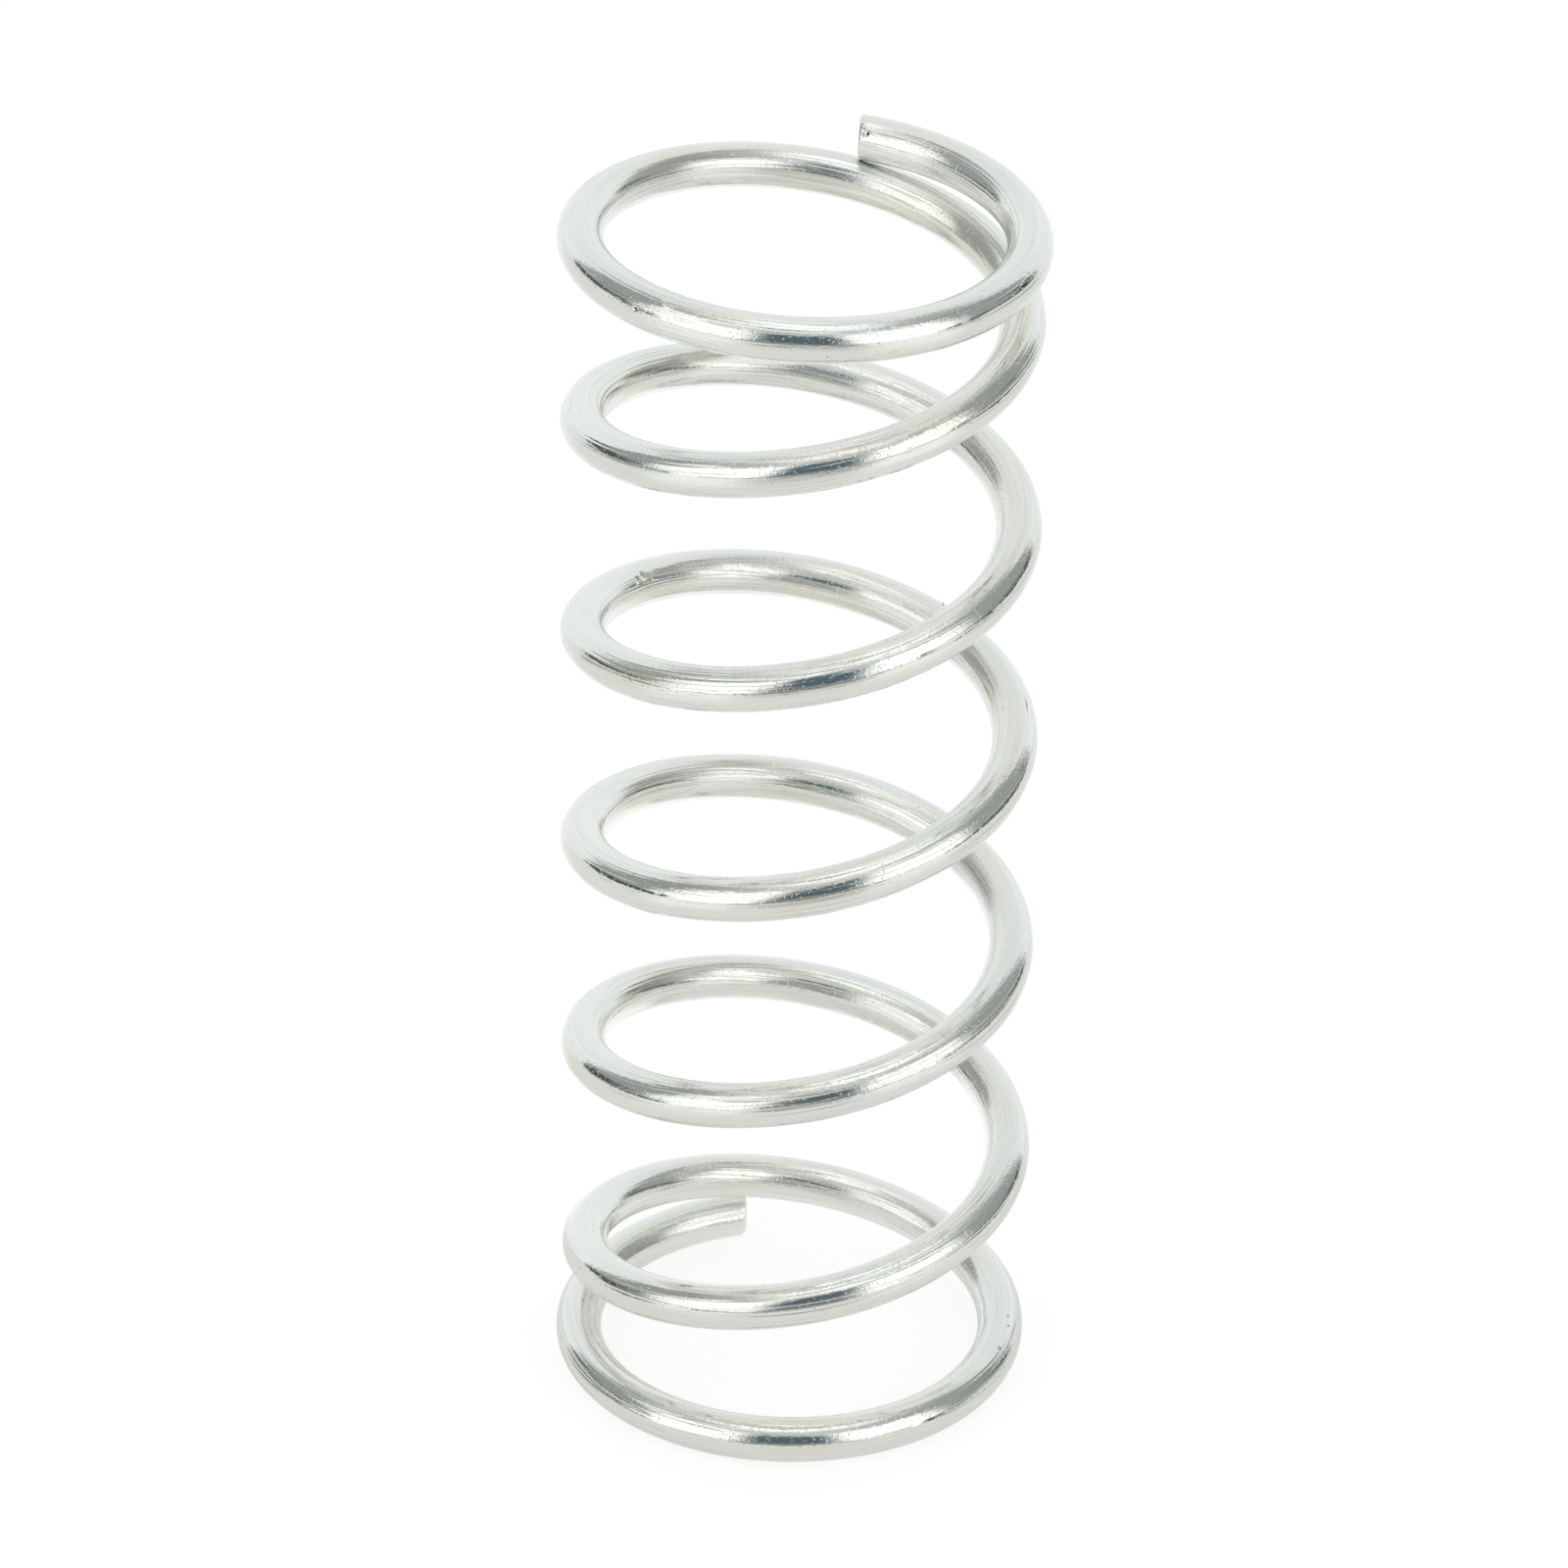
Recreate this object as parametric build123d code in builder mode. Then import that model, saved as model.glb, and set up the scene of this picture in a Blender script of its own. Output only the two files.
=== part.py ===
"""Compression spring of a trimmer head.

One length of round wire is wound into a right-hand coil. The turn at each end is closed against its
neighbour and isn't ground, so the wire keeps its full round section up to both cut ends.

Millimetres, +Z up along the coil's axis, origin under the coil's centre at the height it stands on.
"""

import os
from math import cos, pi, radians, sin, sqrt, tan

from build123d import *

# Wire
wire_diameter = 2.0
cut_edge_break = 0.12  # the shear leaves the rim of each cut slightly broken

# Coil
mean_diameter = 19.0  # across the middle of the wire
pitch = 10.5  # height that one free turn climbs
turns = 6.92  # from one cut end to the other
start_angle = 103.3  # where the bottom cut end lies, in degrees from +X

# Closed ends
bottom_seat_gap = 0.3  # between a cut end and the turn it closes against
top_seat_gap = 0.03
bottom_ramp = 0.47  # turns over which the climb grows from level to the full pitch
top_ramp = 0.83

# Unevenness left by the winding
bottom_growth = 0.3  # the wire springs out to a larger radius at its ends
top_growth = 0.28
growth_reach = 1.3  # turns over which that dies away
bottom_tightness = 0.3  # and the turn next to the bottom one is wound a little small
tightness_reach = 1.45
top_tilt = 2.3  # degrees by which the top turn sits out of square, lower at +X
tilt_reach = 0.7  # turns below the top one over which that straightens

# How finely the winding is laid out
points_per_turn = 12


def die_away(run, reach):
    """One at a run of zero, eased down to zero at `reach`."""
    return (1 + cos(pi * min(run / reach, 1))) / 2


def swell(run, reach):
    """Zero at both ends of `reach`, eased up to one halfway."""
    return (1 - cos(2 * pi * min(run / reach, 1))) / 2


def rise(run, ramp, seat_gap):
    """Height gained over the first `run` turns from a closed end.

    The end lies level for just so long that the turn above or below clears the cut by the seat gap.
    """
    closing_rise = wire_diameter + seat_gap
    level_stretch = 1 - sqrt(2 * ramp * closing_rise / pitch)
    climbing = max(run - level_stretch, 0)
    if climbing < ramp:
        return pitch * climbing**2 / (2 * ramp)
    return pitch * (climbing - ramp / 2)


def height_of_coil(turn):
    """Height of the wire's middle, worked up from the bottom end and down from the top one."""
    half = turns / 2
    if turn < half:
        return rise(turn, bottom_ramp, bottom_seat_gap)
    height_of_half = rise(half, bottom_ramp, bottom_seat_gap)
    below_top = rise(turns - turn, top_ramp, top_seat_gap)
    return height_of_half + rise(half, top_ramp, top_seat_gap) - below_top


def wire_centre(turn):
    """Middle of the wire, `turn` turns up from the bottom cut end."""
    from_top = turns - turn
    radius = mean_diameter / 2
    radius += bottom_growth * die_away(turn, growth_reach)
    radius += top_growth * die_away(from_top, growth_reach)
    radius -= bottom_tightness * swell(turn, tightness_reach)

    angle = radians(start_angle) + 2 * pi * turn
    x = radius * cos(angle)
    y = radius * sin(angle)
    dip = x * tan(radians(top_tilt)) * die_away(max(from_top - 1, 0), tilt_reach)
    return (x, y, wire_diameter / 2 + height_of_coil(turn) - dip)


# The wire follows one smooth line through evenly spaced points of the winding
steps = round(turns * points_per_turn)
winding = [wire_centre(turns * step / steps) for step in range(steps + 1)]

with BuildPart() as spring_wire:
    with BuildLine():
        coil = Spline(*winding)
    bottom_cut = Plane(origin=coil @ 0, z_dir=coil % 0)
    top_cut = Plane(origin=coil @ 1, z_dir=coil % 1)

    with BuildSketch(bottom_cut):
        Circle(wire_diameter / 2)
    sweep(is_frenet=True)

    # A short bevel past each cut stands for its broken rim
    with BuildSketch(-bottom_cut, top_cut):
        Circle(wire_diameter / 2)
    extrude(amount=cut_edge_break, taper=45)

spring_wire.part.label = "spring_wire"

os.makedirs("parts", exist_ok=True)
export_step(spring_wire.part, "parts/spring_wire.step")

free_length = spring_wire.part.bounding_box().size.Z
print("free length", round(free_length, 2), "wire length", round(coil.length, 1))
print("outside", mean_diameter + wire_diameter, "inside", mean_diameter - wire_diameter)
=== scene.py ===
# %% [markdown]
# Trimmer head spring
#
# This lesson dresses one compression spring: a length of bright zinc-plated wire, wound by machine
# and cut off at both ends. The solid model already has the right size, so it is loaded first and
# everything here is fitted to it. The looks come from three things: how evenly the wire is wound,
# what the plating does to its surface, and what the polished metal has around it to reflect.

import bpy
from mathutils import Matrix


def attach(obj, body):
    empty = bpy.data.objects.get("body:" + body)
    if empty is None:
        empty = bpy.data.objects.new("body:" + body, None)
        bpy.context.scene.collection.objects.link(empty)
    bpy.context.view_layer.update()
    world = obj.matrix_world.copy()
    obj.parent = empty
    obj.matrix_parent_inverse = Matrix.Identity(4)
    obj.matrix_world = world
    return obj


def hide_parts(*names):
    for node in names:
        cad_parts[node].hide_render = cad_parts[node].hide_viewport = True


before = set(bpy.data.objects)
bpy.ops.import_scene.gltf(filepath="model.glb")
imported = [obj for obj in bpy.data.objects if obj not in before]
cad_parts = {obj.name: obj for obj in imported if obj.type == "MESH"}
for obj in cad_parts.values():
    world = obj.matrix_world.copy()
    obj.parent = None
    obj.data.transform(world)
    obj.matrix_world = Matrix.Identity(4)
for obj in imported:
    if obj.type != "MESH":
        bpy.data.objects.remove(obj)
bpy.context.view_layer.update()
print("nodes of the solid model:", len(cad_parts))

# %% Modules and small helpers
from math import cos, pi, radians, sin, sqrt, tan

import bpy
import numpy as np
from mathutils import Quaternion, Vector

MM = 0.001


def in_mm(sides):
    """Lengths in metres as rounded millimetres, for printing."""
    return [round(float(side) / MM, 2) for side in sides]


def only(piece):
    """Deselect everything, then select one piece and make it the active one."""
    bpy.ops.object.select_all(action="DESELECT")
    piece.select_set(True)
    bpy.context.view_layer.objects.active = piece


def corners_of(piece):
    """The places of a mesh's corners, one to a row."""
    numbers = np.empty(len(piece.data.vertices) * 3)
    piece.data.vertices.foreach_get("co", numbers)
    return numbers.reshape(-1, 3)


# %% [markdown]
# The winding
#
# A coiling machine feeds straight wire against a set of pins, and small changes at the pins show in
# the spring: the ends spring out to a larger radius, and the last turn sits a little out of square.
# The height of the wire's middle is a formula of the turns wound so far. It starts level, climbs
# faster over the first part of a turn, and ends the same way upside down. These are the sizes that
# the solid model was wound with, in millimetres, turns and degrees.

# %% Sizes of the winding
WIRE_DIAMETER = 2.0
MEAN_DIAMETER = 19.0
PITCH = 10.5
TURNS = 6.92
START_ANGLE = 103.3

BOTTOM_SEAT_GAP = 0.3
TOP_SEAT_GAP = 0.03
BOTTOM_RAMP = 0.47
TOP_RAMP = 0.83

BOTTOM_GROWTH = 0.3
TOP_GROWTH = 0.28
GROWTH_REACH = 1.3
BOTTOM_TIGHTNESS = 0.3
TIGHTNESS_REACH = 1.45
TOP_TILT = 2.3
TILT_REACH = 0.7


# %% The wire's middle, turn by turn
def die_away(run, reach):
    """One at a run of zero, eased down to zero at `reach`."""
    return (1 + cos(pi * min(run / reach, 1))) / 2


def swell(run, reach):
    """Zero at both ends of `reach`, eased up to one halfway."""
    return (1 - cos(2 * pi * min(run / reach, 1))) / 2


def rise(run, ramp, seat_gap):
    """Height gained over the first `run` turns from a closed end."""
    level_stretch = 1 - sqrt(2 * ramp * (WIRE_DIAMETER + seat_gap) / PITCH)
    climbing = max(run - level_stretch, 0)
    if climbing < ramp:
        return PITCH * climbing**2 / (2 * ramp)
    return PITCH * (climbing - ramp / 2)


def height_of_coil(turn):
    """Height of the wire's middle, worked up from the bottom end and down from the top one."""
    half = TURNS / 2
    if turn < half:
        return rise(turn, BOTTOM_RAMP, BOTTOM_SEAT_GAP)
    height_of_half = rise(half, BOTTOM_RAMP, BOTTOM_SEAT_GAP)
    below_top = rise(TURNS - turn, TOP_RAMP, TOP_SEAT_GAP)
    return height_of_half + rise(half, TOP_RAMP, TOP_SEAT_GAP) - below_top


def wire_centre(turn):
    """Middle of the wire in metres, `turn` turns up from the bottom cut end."""
    from_top = TURNS - turn
    radius = MEAN_DIAMETER / 2
    radius += BOTTOM_GROWTH * die_away(turn, GROWTH_REACH)
    radius += TOP_GROWTH * die_away(from_top, GROWTH_REACH)
    radius -= BOTTOM_TIGHTNESS * swell(turn, TIGHTNESS_REACH)
    angle = radians(START_ANGLE) + 2 * pi * turn
    x = radius * cos(angle)
    y = radius * sin(angle)
    dip = x * tan(radians(TOP_TILT)) * die_away(max(from_top - 1, 0), TILT_REACH)
    return Vector((x, y, WIRE_DIAMETER / 2 + height_of_coil(turn) - dip)) * MM


# %% Length of the wire
FINE_STEPS = 20000

fine_line = [wire_centre(TURNS * step / FINE_STEPS) for step in range(FINE_STEPS + 1)]
wire_length = sum((b - a).length for a, b in zip(fine_line, fine_line[1:]))
print("wire length, mm:", round(wire_length / MM, 2))

# %% [markdown]
# The camera
#
# The picture looks down on the spring at thirty degrees through a long lens, so its near and far
# turns look almost the same size. The camera stands where the spring's own proportions put it, and
# it is rolled by half a degree. It looks a little past the spring's middle, which sets the spring
# right of the picture's centre and below it.

# %% Sizes of the view, in degrees, metres and pixels
CAMERA_ELEVATION = 30.03
CAMERA_ROLL = 0.497
CAMERA_DISTANCE = 0.55
NEAREST_SEEN = 0.01
FARTHEST_SEEN = 20
SENSOR_WIDTH = 36.0

PICTURE_WIDTH = 1600
PIXELS_PER_METRE = 23125
PIXELS_RIGHT_OF_CENTRE = 14.76
PIXELS_BELOW_CENTRE = 10.63

# %% Place the camera
spring_middle = Vector((0, 0, (fine_line[0].z + fine_line[-1].z) / 2))
tilt = radians(CAMERA_ELEVATION)
towards_camera = Vector((0, -cos(tilt), sin(tilt)))
roll = Quaternion((0, 0, 1), radians(CAMERA_ROLL))
turn_to_view = towards_camera.to_track_quat("Z", "Y") @ roll
picture_right = turn_to_view @ Vector((1, 0, 0))
picture_up = turn_to_view @ Vector((0, 1, 0))

camera_place = spring_middle + towards_camera * CAMERA_DISTANCE
looked_at = spring_middle - picture_right * PIXELS_RIGHT_OF_CENTRE / PIXELS_PER_METRE
looked_at += picture_up * PIXELS_BELOW_CENTRE / PIXELS_PER_METRE
looking_back = (camera_place - looked_at).normalized()

bpy.ops.object.camera_add(location=camera_place)
camera = bpy.context.object
camera.name = "camera"
camera.rotation_mode = "QUATERNION"
camera.rotation_quaternion = looking_back.to_track_quat("Z", "Y") @ roll
camera.data.sensor_width = SENSOR_WIDTH
camera.data.lens = SENSOR_WIDTH * PIXELS_PER_METRE * CAMERA_DISTANCE / PICTURE_WIDTH
camera.data.clip_start = NEAREST_SEEN
camera.data.clip_end = FARTHEST_SEEN
bpy.context.scene.camera = camera
print("lens, mm:", round(camera.data.lens, 1))

# %% [markdown]
# The straight wire
#
# A spring could be made as a curve with a round bevel, but then its cut ends and dents would have to
# be carved on a finished coil. It is easier to do as the workshop does: make the straight wire
# first, cut its ends, and wind it afterwards. The wire is a long cylinder along X, with some spare
# at both ends. In the winding, +Y of the straight wire will face the coil's axis and +Z will face up.

# %% Add the wire as a long cylinder
SIDES = 46
SPARE = 1.0

bpy.ops.object.select_all(action="DESELECT")
bpy.ops.mesh.primitive_cylinder_add(
    vertices=SIDES,
    radius=WIRE_DIAMETER / 2 * MM,
    depth=wire_length + 2 * SPARE * MM,
    end_fill_type="NGON",
    location=(wire_length / 2, 0, 0),
    rotation=(0, pi / 2, 0),
)
wire = bpy.context.object
wire.name = "wound_wire"
bpy.ops.object.transform_apply(location=True, rotation=True, scale=True)
print("straight wire, mm:", in_mm(wire.dimensions))

# %% [markdown]
# The cut ends
#
# The coiling machine shears the wire off, and a shear is never quite square: here the side of the
# wire that faces the coil's axis is the shorter one. The blade leaves a rim that is rounded where it
# came in and keen where it broke out. So each end is bisected by a plane a little askew. A bevel made
# in edit mode has one width for a whole rim, so a Bevel modifier does it here: it reads a weight from
# each edge of the rim, wide on the blade's side and narrow on the other. It comes before the wire
# gets its rings, while a wide bevel still has free room.

# %% Shear both ends
BOTTOM_CUT_SKEW = 11.5
TOP_CUT_SKEW = 13.0
PAST_THE_BOTTOM = 0.03
PAST_THE_TOP = 0.24

cuts = []
for end, along, skew in (
    (-PAST_THE_BOTTOM * MM, -1, BOTTOM_CUT_SKEW),
    (wire_length + PAST_THE_TOP * MM, 1, TOP_CUT_SKEW),
):
    middle = Vector((end, 0, 0))
    facing = Vector((along * cos(radians(skew)), sin(radians(skew)), 0))
    cuts.append((middle, facing))
    only(wire)
    bpy.ops.object.mode_set(mode="EDIT")
    bpy.ops.mesh.select_all(action="SELECT")
    bpy.ops.mesh.bisect(plane_co=middle, plane_no=facing, clear_outer=True, use_fill=True)
    bpy.ops.object.mode_set(mode="OBJECT")
print("corners of the blank:", len(wire.data.vertices))


# %% Give the rims' edges their weights, high on the blade's side and low on the other
BOTTOM_ROLLED_WIDTH = 0.42
TOP_ROLLED_WIDTH = 0.2
KEEN_WIDTH = 0.05
ON_THE_CUT = 0.001 * MM

rim_weights = wire.data.attributes.new(name="bevel_weight_edge", type="FLOAT", domain="EDGE")
rims = zip(cuts, (BOTTOM_ROLLED_WIDTH, TOP_ROLLED_WIDTH), (-1, 1))
for (middle, facing), rolled_width, blade_side in rims:
    for edge in wire.data.edges:
        a, b = (wire.data.vertices[index].co - middle for index in edge.vertices)
        if abs(a.dot(facing)) < ON_THE_CUT and abs(b.dot(facing)) < ON_THE_CUT:
            towards_blade = (1 + (a.z + b.z) * blade_side / (WIRE_DIAMETER * MM)) / 2
            width = KEEN_WIDTH + (rolled_width - KEEN_WIDTH) * towards_blade
            rim_weights.data[edge.index].value = width / BOTTOM_ROLLED_WIDTH

# %% Bevel both rims by their weights
RIM_ROUNDS = 4

only(wire)
rounding = wire.modifiers.new("rolled over rims", "BEVEL")
rounding.limit_method = "WEIGHT"
rounding.width = BOTTOM_ROLLED_WIDTH * MM
rounding.segments = RIM_ROUNDS
rounding.use_clamp_overlap = False
bpy.ops.object.modifier_apply(modifier=rounding.name)
print("corners with rounded rims:", len(wire.data.vertices))

# %% [markdown]
# Rings along the wire
#
# A cylinder has corners only at its two ends, and such a wire can't be bent. It needs rings of
# corners all the way along, close enough that each turn looks round. It could be made of an array of
# short pieces, but Subdivide keeps the wire whole. That makes a hundred cuts at most in one go, so it
# goes over the long edges once, and then over the shorter ones that this leaves.


# %% Select edges by the place of their ends
def select_edges(piece, test):
    """In edit mode's edge selection, select the edges whose two ends pass a test of their places."""
    bpy.ops.object.mode_set(mode="EDIT")
    bpy.ops.mesh.select_mode(type="EDGE")
    bpy.ops.mesh.select_all(action="DESELECT")
    bpy.ops.object.mode_set(mode="OBJECT")
    for edge in piece.data.edges:
        a, b = (piece.data.vertices[index].co for index in edge.vertices)
        edge.select = test(a, b)
    bpy.ops.object.mode_set(mode="EDIT")


# %% Cut the wire into rings
LONG_EDGE = 100 * MM
FIRST_CUTS = 44
SECOND_CUTS = 43

for ring_cuts, longer_than in ((FIRST_CUTS, LONG_EDGE), (SECOND_CUTS, LONG_EDGE / FIRST_CUTS)):
    select_edges(wire, lambda a, b: (a - b).length > longer_than)
    bpy.ops.mesh.subdivide(number_cuts=ring_cuts)
    bpy.ops.object.mode_set(mode="OBJECT")
print("faces of the straight wire:", len(wire.data.polygons))

# %% [markdown]
# A place to read the finish from
#
# The finish has to follow the wire, not the room. A UV map would do that too, but it would have a
# seam along the wire. So each point keeps its place on the straight wire as an attribute, before
# anything moves it, and the material reads that place later.

# %% Keep each point's place on the straight wire
on_wire = wire.data.attributes.new(name="straight_place", type="FLOAT_VECTOR", domain="POINT")
on_wire.data.foreach_set("vector", corners_of(wire).ravel())
print("places kept:", len(on_wire.data))

# %% [markdown]
# Dents and burrs
#
# The spring has been handled loose with others, and it shows: a nick with its burr on the fourth
# turn, a few nubs and pits elsewhere, and a chip out of the rim of the top cut. Sculpting would
# need fine faces all over. So only the surroundings of each mark get finer faces, and then it is
# pushed in or pulled out of the straight wire by a proportional move. The sizes are in millimetres,
# and the angle around the wire goes from the outside over the top.

# %% Where the dents and burrs are
BLEMISHES = (
    # along the wire, angle around it, reach, height
    (248.15, 134, 0.30, -0.06),
    (248.65, 141, 0.26, -0.04),
    (247.58, 137, 0.08, 0.06),
    (247.66, 147, 0.07, 0.06),
    (247.72, 155, 0.06, 0.04),
    (247.12, 123, 0.10, 0.05),
    (42.16, 69, 0.14, 0.06),
    (41.51, 62, 0.12, 0.05),
    (39.80, 65, 0.15, 0.08),
    (232.65, 74, 0.16, 0.12),
    (383.60, 19, 0.14, -0.06),
    (384.74, 58, 0.10, 0.12),
    (384.86, 52, 0.09, 0.10),
    (385.06, 52, 0.08, 0.08),
    (400.53, 32, 0.10, -0.05),
    (401.25, 31, 0.13, -0.06),
    (418.50, 139, 0.22, -0.16),
)


def on_the_wire(along, angle):
    """A place on the straight wire's surface, and the direction out of it."""
    outwards = Vector((0, -cos(radians(angle)), sin(radians(angle))))
    return Vector((along * MM, 0, 0)) + outwards * WIRE_DIAMETER / 2 * MM, outwards


# %% Select corners or faces near a place
JUST_PAST = 1.01


def select_near(piece, place, reach, faces=False):
    """In edit mode, select the faces or the corners within reach of a place, or its nearest corner."""
    bpy.ops.object.mode_set(mode="EDIT")
    bpy.ops.mesh.select_mode(type="FACE" if faces else "VERT")
    bpy.ops.mesh.select_all(action="DESELECT")
    bpy.ops.object.mode_set(mode="OBJECT")
    away = np.linalg.norm(corners_of(piece) - place, axis=1)
    if faces:
        for face in piece.data.polygons:
            face.select = bool(min(away[list(face.vertices)]) < reach)
    else:
        reach = max(reach, away.min() * JUST_PAST)
        for number in np.flatnonzero(away < reach):
            piece.data.vertices[int(number)].select = True
    bpy.ops.object.mode_set(mode="EDIT")


# %% Push the dents in and pull the burrs out
FINER_CUTS = 3
TIP_PART = 1 / 6

only(wire)
for along, angle, reach, height in BLEMISHES:
    place, outwards = on_the_wire(along, angle)
    select_near(wire, place, reach * MM, faces=True)
    bpy.ops.mesh.subdivide(number_cuts=FINER_CUTS)
    select_near(wire, place, reach * MM * TIP_PART)
    bpy.ops.transform.translate(
        value=outwards * height * MM,
        use_proportional_edit=True,
        proportional_edit_falloff="SMOOTH",
        proportional_size=reach * MM,
    )
    bpy.ops.object.mode_set(mode="OBJECT")
print("faces with the blemishes:", len(wire.data.polygons))

# %% [markdown]
# Winding it
#
# The machine bends the wire as it comes out of the feed. Here a Curve modifier does it, along a
# Bezier curve through points of the winding's formula. A spiral drawn by a modifier would be quicker
# to make, but it would be even, and this spring isn't. At each point the handles follow the slope of
# the formula, and each is a third of the step long, as a smooth Bezier curve needs.

# %% Lay out the curve of the winding
POINTS_PER_TURN = 24
STEPS_BETWEEN_POINTS = 12
SMALL_TURN = 0.001

last_point = round(TURNS * POINTS_PER_TURN)
handle = TURNS / last_point / 3
path_data = bpy.data.curves.new("winding", "CURVE")
path_data.dimensions = "3D"
path_data.twist_mode = "Z_UP"
path_data.resolution_u = STEPS_BETWEEN_POINTS
winding = path_data.splines.new("BEZIER")
winding.bezier_points.add(last_point)
for number, point in enumerate(winding.bezier_points):
    turn = TURNS * number / last_point
    slope = (wire_centre(turn + SMALL_TURN) - wire_centre(turn - SMALL_TURN)) / (2 * SMALL_TURN)
    point.co = wire_centre(turn)
    point.handle_left_type = "FREE"
    point.handle_right_type = "FREE"
    point.handle_left = point.co - slope * handle
    point.handle_right = point.co + slope * handle
path = bpy.data.objects.new("winding", path_data)
bpy.context.collection.objects.link(path)
print("points of the winding:", len(winding.bezier_points))

# %% Wind the wire onto the curve
SMOOTH_UP_TO = 35

only(wire)
bend = wire.modifiers.new("wind", "CURVE")
bend.object = path
bend.deform_axis = "POS_X"
bpy.ops.object.modifier_apply(modifier=bend.name)
bpy.data.objects.remove(path)

only(wire)
bpy.ops.object.shade_smooth_by_angle(angle=radians(SMOOTH_UP_TO))
wound_corners = corners_of(wire)
print("wound wire, mm:", in_mm(wound_corners.max(0) - wound_corners.min(0)))
print("low corner, mm:", in_mm(wound_corners.min(0)))

# %% [markdown]
# Helpers for nodes
#
# The studio, the sheet and the metal are all drawn with shader nodes. Placed by hand they would be
# quick to try out, but hard to read later. So a few helpers stand for what is wanted again and
# again: a sum, an eased edge, a stretch between two edges, and one colour laid over another.


# %% Nodes and their inputs
def add_node(tree, kind, **settings):
    """A new node of a tree, with its settings."""
    node = tree.nodes.new(kind)
    for name, value in settings.items():
        setattr(node, name, value)
    return node


def feed(tree, target, value):
    """Join an output to an input, or set the input to a number or a colour."""
    if isinstance(value, bpy.types.NodeSocket):
        tree.links.new(value, target)
    elif target.type == "RGBA":
        target.default_value = (*value, 1)
    else:
        target.default_value = value


def maths(tree, operation, *values):
    """A Math node of one or two values, each a number or an output."""
    node = add_node(tree, "ShaderNodeMath", operation=operation)
    for target, value in zip(node.inputs, values):
        feed(tree, target, value)
    return node.outputs[0]


# %% Eased edges, stretches and blends
def ramp_up(tree, value, start, end, low=0.0, high=1.0):
    """Eases from `low` to `high` as the value goes from start to end."""
    node = add_node(tree, "ShaderNodeMapRange", interpolation_type="SMOOTHSTEP")
    feed(tree, node.inputs["Value"], value)
    for name, number in (("From Min", start), ("From Max", end), ("To Min", low), ("To Max", high)):
        node.inputs[name].default_value = number
    return node.outputs[0]


def ramp_down(tree, value, start, end, high=1.0):
    """Eases from `high` to zero as the value goes from start to end."""
    return ramp_up(tree, value, start, end, high, 0.0)


def between(tree, value, opens, closes):
    """One between two eased edges and zero outside. An edge is a start and an end, or None."""
    if closes is None:
        return ramp_up(tree, value, *opens)
    if opens is None:
        return ramp_down(tree, value, *closes)
    return maths(tree, "MULTIPLY", ramp_up(tree, value, *opens), ramp_down(tree, value, *closes))


def blend(tree, mask, below, above, kind="RGBA"):
    """Mix two colours by a mask, or two numbers where the kind is VALUE."""
    node = add_node(tree, "ShaderNodeMix", data_type="RGBA" if kind == "RGBA" else "FLOAT")
    feed(tree, node.inputs[0], mask)
    a, b = (socket for socket in node.inputs if socket.name in ("A", "B") and socket.type == kind)
    feed(tree, a, below)
    feed(tree, b, above)
    return next(socket for socket in node.outputs if socket.type == kind)


# %% Directions around the spring
TO_DEGREES = 180 / pi


def angle_from_camera(tree, east, north):
    """Degrees from the camera's side, to the right."""
    side_angle = maths(tree, "ARCTAN2", east, maths(tree, "MULTIPLY", north, -1.0))
    return maths(tree, "MULTIPLY", side_angle, TO_DEGREES)


# %% [markdown]
# The studio
#
# Bright metal shows what is around it. Here that is a white table, a pale wall behind, two large
# soft boxes left and right of the camera, a lamp overhead, and darker openings between them: one
# behind the camera and one at each side. Low down there are dark edges, where the table ends and
# where the stands of the soft boxes begin. Boxes and cards around the spring would do the same, but
# they would cast shadows and show in other views. So the world carries them all as soft-edged zones
# of its sky. The camera itself sees plain white.

# %% Angles in the sky
world = bpy.data.worlds.new("studio")
bpy.context.scene.world = world
world.use_nodes = True
sky = world.node_tree
sky.nodes.clear()

direction = add_node(sky, "ShaderNodeSeparateXYZ")
feed(sky, direction.inputs[0], add_node(sky, "ShaderNodeTexCoord").outputs["Generated"])
east, north, height = direction.outputs
elevation = maths(sky, "MULTIPLY", maths(sky, "ARCSINE", height), TO_DEGREES)
to_the_right = angle_from_camera(sky, east, north)
to_the_left = maths(sky, "MULTIPLY", to_the_right, -1.0)
off_camera = maths(sky, "ABSOLUTE", to_the_right)

# %% The table's white and the wall above it
TABLE_WHITE = (0.785, 0.783, 0.757)
WALL_LOW = (0.9, 0.94, 0.935)
WALL_HIGH = (0.81, 0.825, 0.8)
WALL_EDGE = (-1.0, 1.0)
WALL_FADE = (5.0, 55.0)

wall = blend(sky, ramp_up(sky, elevation, *WALL_FADE), WALL_LOW, WALL_HIGH)
shown = blend(sky, ramp_up(sky, elevation, *WALL_EDGE), TABLE_WHITE, wall)

# %% Colours of the zones
CEILING_GREY = (0.61, 0.63, 0.61)
SHADE_GREY = (0.5, 0.52, 0.5)
SIDE_DARK = (0.338, 0.355, 0.338)
SIDE_FLOOR_DARK = (0.12, 0.133, 0.125)
CAMERA_DARK = (0.1, 0.143, 0.163)
CAMERA_FLOOR_GREY = (0.3, 0.31, 0.3)
SOFT_BOX_WHITE = (1.26, 1.26, 1.23)
TABLE_EDGE_GREY = (0.3, 0.31, 0.29)
RIGHT_STAND_DARK = (0.12, 0.13, 0.12)
LEFT_STAND_DARK = (0.08, 0.085, 0.08)

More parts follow.
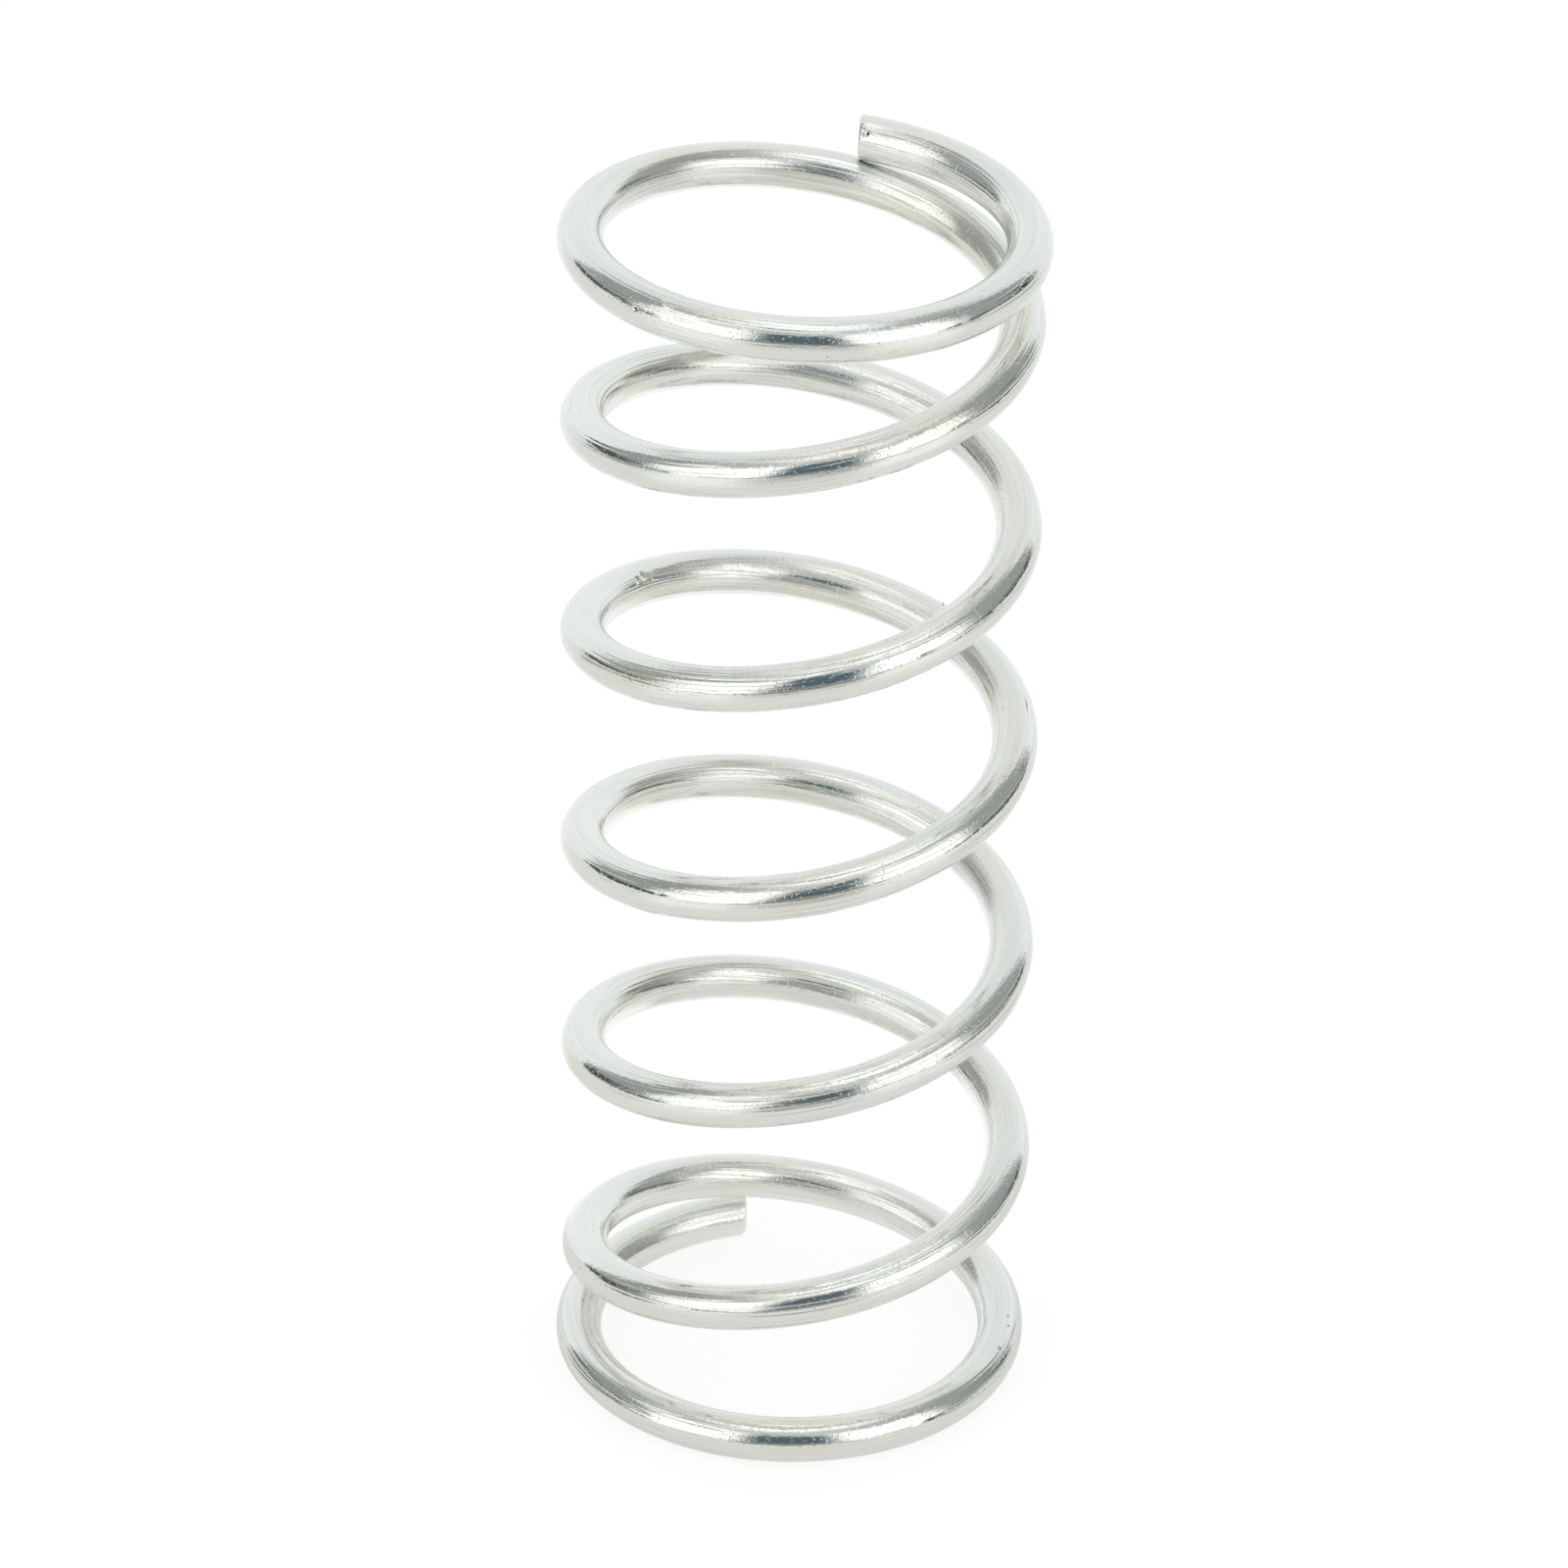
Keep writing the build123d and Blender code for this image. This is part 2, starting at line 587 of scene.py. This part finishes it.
# %% Zones over the wall
# Each zone is laid over the ones before it. Its edges are in degrees: across, from the camera's side,
# and upwards, from the level of the table. Each edge is eased over the two angles given.
ZONES = {
    # name: colour, angle across, opens and closes across, opens and closes upwards
    "ceiling": (CEILING_GREY, off_camera, None, (125, 150), (48, 60), None),
    "shade below the ceiling": (SHADE_GREY, off_camera, (34, 64), (134, 150), (44, 56), (62, 74)),
    "right opening": (SIDE_DARK, to_the_right, (70, 80), (121, 131), (-2, 1), (48, 66)),
    "left opening": (SIDE_DARK, to_the_left, (79, 89), (122, 130), (-2, 1), (48, 66)),
    "right floor edge": (SIDE_FLOOR_DARK, to_the_right, (70, 80), (121, 131), (-1, 1.5), (8, 16)),
    "left floor edge": (SIDE_FLOOR_DARK, to_the_left, (79, 89), (122, 130), (-1, 1.5), (8, 16)),
    "behind the camera": (CAMERA_DARK, off_camera, None, (17, 32), (-3, 1), (41, 58)),
    "soft boxes": (SOFT_BOX_WHITE, off_camera, (12, 36), (60, 88), (1, 3.5), (46, 54)),
    "floor at the camera": (CAMERA_FLOOR_GREY, off_camera, None, (15, 32), (-3, 1), (8, 15)),
    "edge of the table": (TABLE_EDGE_GREY, off_camera, None, (52, 66), (-2, -1), (2, 3.5)),
    "right stand": (RIGHT_STAND_DARK, to_the_right, (60, 68), (90, 104), (-1, 1), (5.5, 9.5)),
    "left stand": (LEFT_STAND_DARK, to_the_left, (64, 72), (114, 130), (0.5, 3), (9, 12)),
}

for name, (colour, across, opens, closes, opens_above, closes_above) in ZONES.items():
    wide = between(sky, across, opens, closes)
    high = between(sky, elevation, opens_above, closes_above)
    shown = blend(sky, maths(sky, "MULTIPLY", wide, high), shown, colour)
    shown.node.label = name
print("zones of the sky:", len(ZONES))

# %% The lamp overhead, and what the camera sees
OVERHEAD_LAMP = (1.26, 1.27, 1.24)
LAMP_EDGE = (62.0, 80.0)
PURE_WHITE = (1.0, 1.0, 1.0)

shown = blend(sky, ramp_up(sky, elevation, *LAMP_EDGE), shown, OVERHEAD_LAMP)
seen_directly = add_node(sky, "ShaderNodeLightPath").outputs["Is Camera Ray"]
background = add_node(sky, "ShaderNodeBackground")
feed(sky, background.inputs["Color"], blend(sky, seen_directly, shown, PURE_WHITE))
feed(sky, add_node(sky, "ShaderNodeOutputWorld").inputs["Surface"], background.outputs[0])

# %% [markdown]
# The table
#
# The spring stands on a white sheet that runs out of sight. A plain white floor under lamps would
# turn grey away from them. So most of the sheet's white is its own glow, which reaches the picture's
# plain white, and the rest is lit, so that the spring still darkens it a little where it stands. The
# metal sees it a step below that white, as it does the rest of the studio. For the metal, the glow is
# painted unevenly, as painted pools of light and shade: brighter in front of the soft boxes and
# towards the wall behind, and darker far off in front.

# %% Lay the sheet
TABLE_SIZE = 3.0
TABLE_PAINT = (0.3, 0.3, 0.3)
TABLE_ROUGHNESS = 0.9

bpy.ops.object.select_all(action="DESELECT")
bpy.ops.mesh.primitive_plane_add(size=TABLE_SIZE, location=(0, 0, 0))
table = bpy.context.object
table.name = "table"
paint = bpy.data.materials.new("white_sheet")
paint.use_nodes = True
sheet = paint.node_tree
shader = sheet.nodes["Principled BSDF"]
feed(sheet, shader.inputs["Base Color"], TABLE_PAINT)
feed(sheet, shader.inputs["Roughness"], TABLE_ROUGHNESS)
feed(sheet, shader.inputs["Specular IOR Level"], 0.0)
table.data.materials.append(paint)

# %% Places on the sheet
table_place = add_node(sheet, "ShaderNodeTexCoord").outputs["Object"]
on_table = add_node(sheet, "ShaderNodeSeparateXYZ")
feed(sheet, on_table.inputs[0], table_place)
how_far = add_node(sheet, "ShaderNodeVectorMath", operation="LENGTH")
feed(sheet, how_far.inputs[0], table_place)
from_spring = how_far.outputs["Value"]
off_front = maths(sheet, "ABSOLUTE", angle_from_camera(sheet, on_table.outputs[0], on_table.outputs[1]))

# %% How strongly each stretch of it glows
NEAR_GLOW = 0.56
FAR_FRONT_GLOW = 0.3
FAR_SIDE_GLOW = 0.56
FRONT_TO_SIDE = (25.0, 100.0)
BOX_GLOW = 0.74
BACK_GLOW = 0.85
FAR_BACK_GLOW = 0.72
BACK_FADE = (15 * MM, 90 * MM)

far_glow = ramp_up(sheet, off_front, *FRONT_TO_SIDE, FAR_FRONT_GLOW, FAR_SIDE_GLOW)
back_glow = ramp_up(sheet, from_spring, *BACK_FADE, BACK_GLOW, FAR_BACK_GLOW)

# Edges around the spring are in degrees from the camera's side, and distances from its axis are in
# millimetres.
# These stretches are painted pools of light and shade in the sheet's glow, seen by all but the camera.
STRETCHES = {
    # name: glow, opens and closes around, sets in over these distances
    "far away": (far_glow, None, (104, 122), (50, 420)),
    "before the boxes": (BOX_GLOW, (18, 40), (62, 84), (20, 120)),
    "behind": (back_glow, (120, 156), None, (2, 18)),
}

glow = NEAR_GLOW
masks = {}
for name, (stretch_glow, opens, closes, (sets_in, full)) in STRETCHES.items():
    distance_mask = ramp_up(sheet, from_spring, sets_in * MM, full * MM)
    masks[name] = maths(sheet, "MULTIPLY", between(sheet, off_front, opens, closes), distance_mask)
    glow = blend(sheet, masks[name], glow, stretch_glow, "VALUE")
print("stretches of the sheet:", len(masks))

# %% The colour of the glow, and what the camera sees of it
WARM_GLOW = (1.0, 0.997, 0.95)
COOL_GLOW = (0.975, 1.0, 1.0)
GLOW_SEEN = 0.79

seen_directly = add_node(sheet, "ShaderNodeLightPath").outputs["Is Camera Ray"]
tinted_glow = blend(sheet, masks["behind"], WARM_GLOW, COOL_GLOW)
feed(sheet, shader.inputs["Emission Color"], blend(sheet, seen_directly, tinted_glow, PURE_WHITE))
feed(sheet, shader.inputs["Emission Strength"], blend(sheet, seen_directly, glow, GLOW_SEEN, "VALUE"))

# %% [markdown]
# Bright zinc
#
# Zinc from a plating bath is a pale, almost mirror-like metal. It isn't quite even: the passivation
# over it is a little blue on the outside of the coil and a little yellow inside, the steel below
# keeps fine lines that the drawing die left along the wire, and the bath leaves small grains and pits.
# A painted noise would only colour the metal. Here most of the detail is relief of a few thousandths
# of a millimetre, which shows as a real plating does: hardly where the metal reflects something
# even, and strongly where it reflects an edge or something dark. All of it reads the place on the
# straight wire, so that the lines follow the winding.

# %% Coordinates of the finish
zinc = bpy.data.materials.new("bright_zinc")
zinc.use_nodes = True
finish = zinc.node_tree
metal = finish.nodes["Principled BSDF"]
wire_place = add_node(finish, "ShaderNodeAttribute", attribute_name="straight_place").outputs["Vector"]
place_parts = add_node(finish, "ShaderNodeSeparateXYZ")
feed(finish, place_parts.inputs[0], wire_place)
inward = place_parts.outputs["Y"]
wire.data.materials.append(zinc)


# %% Noise along the wire
NOISE_MIDDLE = 0.5


def noise(per_mm_along, per_mm_around, shift, detail=0.0):
    """Smooth noise on the straight wire, in cells per millimetre along it and around it.

    Each noise has its own shift, so that no two of them fall together.
    """
    cells = add_node(finish, "ShaderNodeVectorMath", operation="MULTIPLY_ADD")
    feed(finish, cells.inputs[0], wire_place)
    cells.inputs[1].default_value = (per_mm_along / MM, per_mm_around / MM, per_mm_around / MM)
    cells.inputs[2].default_value = (shift, shift, shift)
    node = add_node(finish, "ShaderNodeTexNoise")
    feed(finish, node.inputs["Vector"], cells.outputs[0])
    node.inputs["Scale"].default_value = 1.0
    node.inputs["Detail"].default_value = detail
    return node.outputs["Fac"]


def swing(pattern, size):
    """A noise counted up and down from its middle, times a size."""
    return maths(finish, "MULTIPLY", maths(finish, "SUBTRACT", pattern, NOISE_MIDDLE), size)


def off_middle(pattern):
    """How far a noise is from its middle, up to a half. It is zero along thin lines."""
    return maths(finish, "ABSOLUTE", maths(finish, "SUBTRACT", pattern, NOISE_MIDDLE))


# %% The patterns on the wire
patches = noise(per_mm_along=0.12, per_mm_around=0.7, shift=3.1, detail=1.0)
tints = noise(per_mm_along=0.16, per_mm_around=0.7, shift=11.0, detail=1.0)
fine_lines = off_middle(noise(per_mm_along=0.08, per_mm_around=4.3, shift=1.7))
broad_lines = noise(per_mm_along=0.035, per_mm_around=3.4, shift=8.3)
short_lines = noise(per_mm_along=1.6, per_mm_around=7.0, shift=4.4)
waves = noise(per_mm_along=0.4, per_mm_around=0.6, shift=5.9)
specks = noise(per_mm_along=7.0, per_mm_around=9.5, shift=2.6)

# %% [markdown]
# Relief of the surface
#
# The drawing die leaves fine and broad lines, and here and there a deeper score. Feed rollers and
# handling leave slow waves and short streaks, and the bath leaves grains and pits. The lines come
# and go in patches along the wire, as the lubricant in the die did. Geometry this fine would need
# millions of faces, so it is a height that the Bump node reads, in thousandths of a millimetre.

# %% Scores, grains and pits
SCORE_WIDTH = 0.045
SCORED_PATCHES = (0.4, 0.55)
SCORES_ELSEWHERE = 0.2
GRAINS_ABOVE = (0.6, 0.76)
PITS_BELOW = (0.1, 0.2)

scores = ramp_down(finish, off_middle(broad_lines), 0.0, SCORE_WIDTH)
scores = maths(finish, "MULTIPLY", scores, ramp_up(finish, patches, *SCORED_PATCHES, SCORES_ELSEWHERE, 1.0))
grains = ramp_up(finish, specks, *GRAINS_ABOVE)
pits = ramp_down(finish, specks, *PITS_BELOW)

# %% Add up the relief, in thousandths of a millimetre
FINE_LINE_HEIGHT = 32.0
BROAD_LINE_HEIGHT = 17.0
STREAK_HEIGHT = 5.0
WAVE_HEIGHT = 15.0
SCORE_DEPTH = 8.0
GRAIN_HEIGHT = 4.0
LINED_PATCHES = (0.45, 0.6)
LINES_ELSEWHERE = 0.12
STREAKED_PATCHES = (0.35, 0.6)
STREAKS_AMONG_LINES = 0.4

lined = ramp_up(finish, patches, *LINED_PATCHES, LINES_ELSEWHERE, 1.0)
streaked = ramp_up(finish, patches, *STREAKED_PATCHES, 1.0, STREAKS_AMONG_LINES)
relief = maths(finish, "MULTIPLY", lined, maths(finish, "MULTIPLY", fine_lines, 2 * FINE_LINE_HEIGHT))
for layer in (
    maths(finish, "MULTIPLY", streaked, swing(short_lines, STREAK_HEIGHT)),
    swing(broad_lines, BROAD_LINE_HEIGHT),
    maths(finish, "MULTIPLY", scores, -SCORE_DEPTH),
    swing(waves, WAVE_HEIGHT),
    maths(finish, "MULTIPLY", grains, GRAIN_HEIGHT),
    maths(finish, "MULTIPLY", pits, -GRAIN_HEIGHT),
):
    relief = maths(finish, "ADD", relief, layer)

# %% Let the relief tilt the metal's normals
THOUSANDTH = MM / 1000

bump = add_node(finish, "ShaderNodeBump")
bump.inputs["Strength"].default_value = 1.0
bump.inputs["Distance"].default_value = THOUSANDTH
feed(finish, bump.inputs["Height"], relief)
feed(finish, metal.inputs["Normal"], bump.outputs["Normal"])

# %% [markdown]
# Colour of the plating
#
# The passivation is a film far thinner than a hair, and its thickness sets its tint. So the blue and
# the olive tints drift slowly over the wire, and the inside of the coil is warmer than the outside.
# Lines, scores and pits are painted darker, as painted shade in these grooves and hollows. Images
# could be painted for this, but masks from the same patterns as the relief keep colour and relief
# together.

# %% Tints, and painted shade in grooves and pits
ZINC_OUTSIDE = (0.872, 0.878, 0.862)
ZINC_INSIDE = (0.885, 0.882, 0.855)
BLUE_TINT = (0.84, 0.865, 0.875)
OLIVE_TINT = (0.85, 0.84, 0.76)
# The line tint and the pit colour are painted shade, darker in grooves and hollows.
GROOVE_SHADE_TINT = (0.74, 0.745, 0.72)
PIT_SHADE_COLOUR = (0.3, 0.3, 0.27)
COLOUR_TURNS = (-0.5 * MM, 0.6 * MM)

TINTS_AND_LINE_SHADE = (
    # pattern, eases from, to, strength there, and there, colour
    (tints, 0.52, 0.7, 0.0, 0.6, BLUE_TINT),
    (tints, 0.32, 0.46, 0.7, 0.0, OLIVE_TINT),
    # The fine die lines are painted darker, as painted shade in these grooves.
    (fine_lines, 0.0, 0.08, 0.25, 0.0, GROOVE_SHADE_TINT),
)
# Painted shade: scores and pits are painted darker, as shade in these grooves and hollows.
GROOVE_AND_PIT_SHADE = (
    # where it sits, strength, colour
    (scores, 0.4, GROOVE_SHADE_TINT),
    (pits, 0.7, PIT_SHADE_COLOUR),
)

colour = blend(finish, ramp_up(finish, inward, *COLOUR_TURNS), ZINC_OUTSIDE, ZINC_INSIDE)
for pattern, start, end, low, high, tint in TINTS_AND_LINE_SHADE:
    colour = blend(finish, ramp_up(finish, pattern, start, end, low, high), colour, tint)
for places, strength, tint in GROOVE_AND_PIT_SHADE:
    colour = blend(finish, maths(finish, "MULTIPLY", places, strength), colour, tint)
print("tints of the plating:", len(TINTS_AND_LINE_SHADE) + len(GROOVE_AND_PIT_SHADE))

# %% [markdown]
# Marks of handling
#
# Some marks sit at one place of the wire: painted shade in the dents, in the chip at the top cut and
# in a few scratches, the dull yellow of the nick, and a spot near the top that was rubbed dull. They
# could be painted on an image, but a mask by distance needs no unwrapping. Each mask has its strength
# in the middle and eases to zero at its reach, and with a strength above one more of its middle is
# wholly dark.


# %% A mask around one place of the wire
def near(along, angle, reach, strength, longer):
    """A mask at one place of the wire, eased to zero at its reach in millimetres.

    Along the wire it reaches so many times longer.
    """
    away = add_node(finish, "ShaderNodeVectorMath", operation="SUBTRACT")
    feed(finish, away.inputs[0], wire_place)
    away.inputs[1].default_value = on_the_wire(along, angle)[0]
    shortened = add_node(finish, "ShaderNodeVectorMath", operation="MULTIPLY")
    feed(finish, shortened.inputs[0], away.outputs[0])
    shortened.inputs[1].default_value = (1 / longer, 1, 1)
    distance = add_node(finish, "ShaderNodeVectorMath", operation="LENGTH")
    feed(finish, distance.inputs[0], shortened.outputs[0])
    return ramp_down(finish, distance.outputs["Value"], 0.0, reach * MM, strength)


# %% Painted shade in the dents and scratches, and the nick
# Painted shade: this dark colour darkens the dents, the chip at the top cut and the scratches.
DENT_SHADE_COLOUR = (0.03, 0.03, 0.03)
MARKS_AND_DENT_SHADE = (
    # colour, along the wire, angle around it, reach, strength, how many times longer than wide
    (DENT_SHADE_COLOUR, 418.39, 140, 0.12, 2.0, 1.0),
    (DENT_SHADE_COLOUR, 383.60, 20, 0.08, 1.2, 2.0),
    (DENT_SHADE_COLOUR, 400.53, 32, 0.07, 1.2, 1.0),
    (DENT_SHADE_COLOUR, 401.35, 31, 0.09, 1.2, 6.0),
    (DENT_SHADE_COLOUR, 225.24, 56, 0.05, 1.0, 13.0),
    (DENT_SHADE_COLOUR, 41.30, 44, 0.045, 0.9, 40.0),
    # The olive mark is the nick's own dull yellow.
    (OLIVE_TINT, 248.1, 133, 0.35, 1.0, 2.0),
)

for tint, *mark in MARKS_AND_DENT_SHADE:
    colour = blend(finish, near(*mark), colour, tint)
feed(finish, metal.inputs["Base Color"], colour)
print("marks on the wire:", len(MARKS_AND_DENT_SHADE))

# %% Roughness
BRIGHT_ROUGHNESS = 0.07
DULL_ROUGHNESS = 0.16
DULL_TURNS = (-0.3 * MM, 0.6 * MM)
WORN_PATCHES = (0.45, 0.7)
WORN_ROUGHNESS = 0.06
RUBBED = (397.6, 29, 0.4, 0.3, 1.0)

roughness = ramp_up(finish, inward, *DULL_TURNS, BRIGHT_ROUGHNESS, DULL_ROUGHNESS)
roughness = maths(finish, "ADD", roughness, ramp_up(finish, patches, *WORN_PATCHES, 0.0, WORN_ROUGHNESS))
roughness = maths(finish, "ADD", roughness, near(*RUBBED))
feed(finish, metal.inputs["Roughness"], roughness)
feed(finish, metal.inputs["Metallic"], 1.0)
print("nodes of the finish:", len(finish.nodes))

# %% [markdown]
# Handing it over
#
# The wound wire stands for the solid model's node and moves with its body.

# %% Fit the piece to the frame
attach(wire, "root")
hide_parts("spring_wire")

# %% Colour settings
bpy.context.scene.view_settings.view_transform = "Standard"
